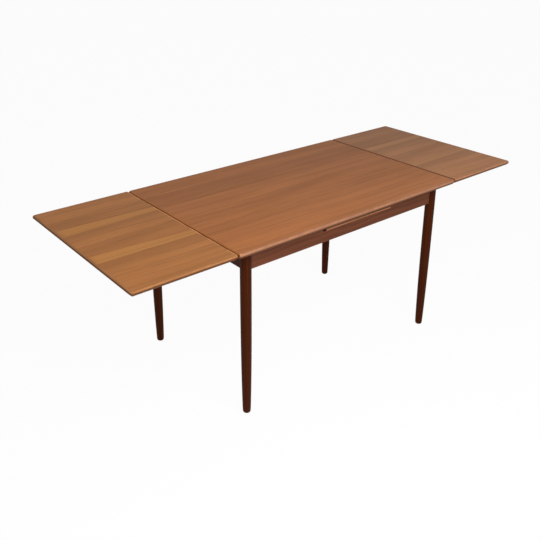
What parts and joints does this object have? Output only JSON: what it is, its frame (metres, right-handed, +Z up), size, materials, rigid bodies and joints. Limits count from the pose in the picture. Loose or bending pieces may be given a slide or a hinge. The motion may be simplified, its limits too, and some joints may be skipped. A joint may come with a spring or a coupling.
{
  "type": "extending dining table",
  "caption": "Oblong teak dining table with a loose main top and end leaves carried on draw-out lopers, on turned tapering legs tenoned to deep aprons.",
  "frame": {"origin": "the middle of the footprint, on the floor", "axes": "+X along the table from the left leaf to the right leaf, +Y from the front to the back, +Z up"},
  "size_m": [2.079, 0.8, 0.75],
  "materials": {
    "top_teak": "oiled reddish teak veneer, satin",
    "leaf_teak": "oiled golden teak veneer, satin",
    "dark_teak": "dark oiled solid teak, satin",
    "beech": "bare waxed beech",
    "steel": "plain zinc grey"
  },
  "bodies": {
    "frame": {"leg_front_left": "dark_teak", "corner_block_front_left": "beech", "leg_bolt_front_left": "steel", "leg_front_right": "dark_teak", "corner_block_front_right": "beech", "leg_bolt_front_right": "steel", "leg_back_right": "dark_teak", "corner_block_back_right": "beech", "leg_bolt_back_right": "steel", "leg_back_left": "dark_teak", "corner_block_back_left": "beech", "leg_bolt_back_left": "steel", "apron_front": "dark_teak", "apron_back": "dark_teak", "apron_left": "dark_teak", "apron_right": "dark_teak", "guide_rail_left": "beech", "guide_rail_right": "beech", "centre_board": "beech"},
    "top_assembly": {"main_top": "top_teak", "top_dowel_front_left": "beech", "top_dowel_back_left": "beech", "top_dowel_front_right": "beech", "top_dowel_back_right": "beech"},
    "left_leaf_assembly": {"left_leaf": "leaf_teak", "leaf_batten_left_front": "beech", "leaf_batten_left_back": "beech"},
    "right_leaf_assembly": {"right_leaf": "leaf_teak", "leaf_batten_right_front": "beech", "leaf_batten_right_back": "beech"},
    "left_front_loper": {"loper_left_front": "beech", "stop_peg_left_front": "beech"},
    "left_back_loper": {"loper_left_back": "beech", "stop_peg_left_back": "beech"},
    "right_front_loper": {"loper_right_front": "beech", "stop_peg_right_front": "beech"},
    "right_back_loper": {"loper_right_back": "beech", "stop_peg_right_back": "beech"}
  },
  "joints": [
    {"name": "main_top_lift", "type": "slide", "parent": "frame", "child": "top_assembly", "axis": [0, 0, 1], "range_m": [0, 0.024]},
    {"name": "left_leaf_lift", "type": "slide", "parent": "frame", "child": "left_leaf_assembly", "axis": [0, 0, 1], "range_m": [0, 0.1]},
    {"name": "right_leaf_lift", "type": "slide", "parent": "frame", "child": "right_leaf_assembly", "axis": [0, 0, 1], "range_m": [0, 0.1]},
    {"name": "left_front_loper_draw", "type": "slide", "parent": "frame", "child": "left_front_loper", "axis": [1, 0, 0], "range_m": [0, 0.428]},
    {"name": "left_back_loper_draw", "type": "slide", "parent": "frame", "child": "left_back_loper", "axis": [1, 0, 0], "range_m": [0, 0.428]},
    {"name": "right_front_loper_draw", "type": "slide", "parent": "frame", "child": "right_front_loper", "axis": [-1, 0, 0], "range_m": [0, 0.428]},
    {"name": "right_back_loper_draw", "type": "slide", "parent": "frame", "child": "right_back_loper", "axis": [-1, 0, 0], "range_m": [0, 0.428]}
  ]
}
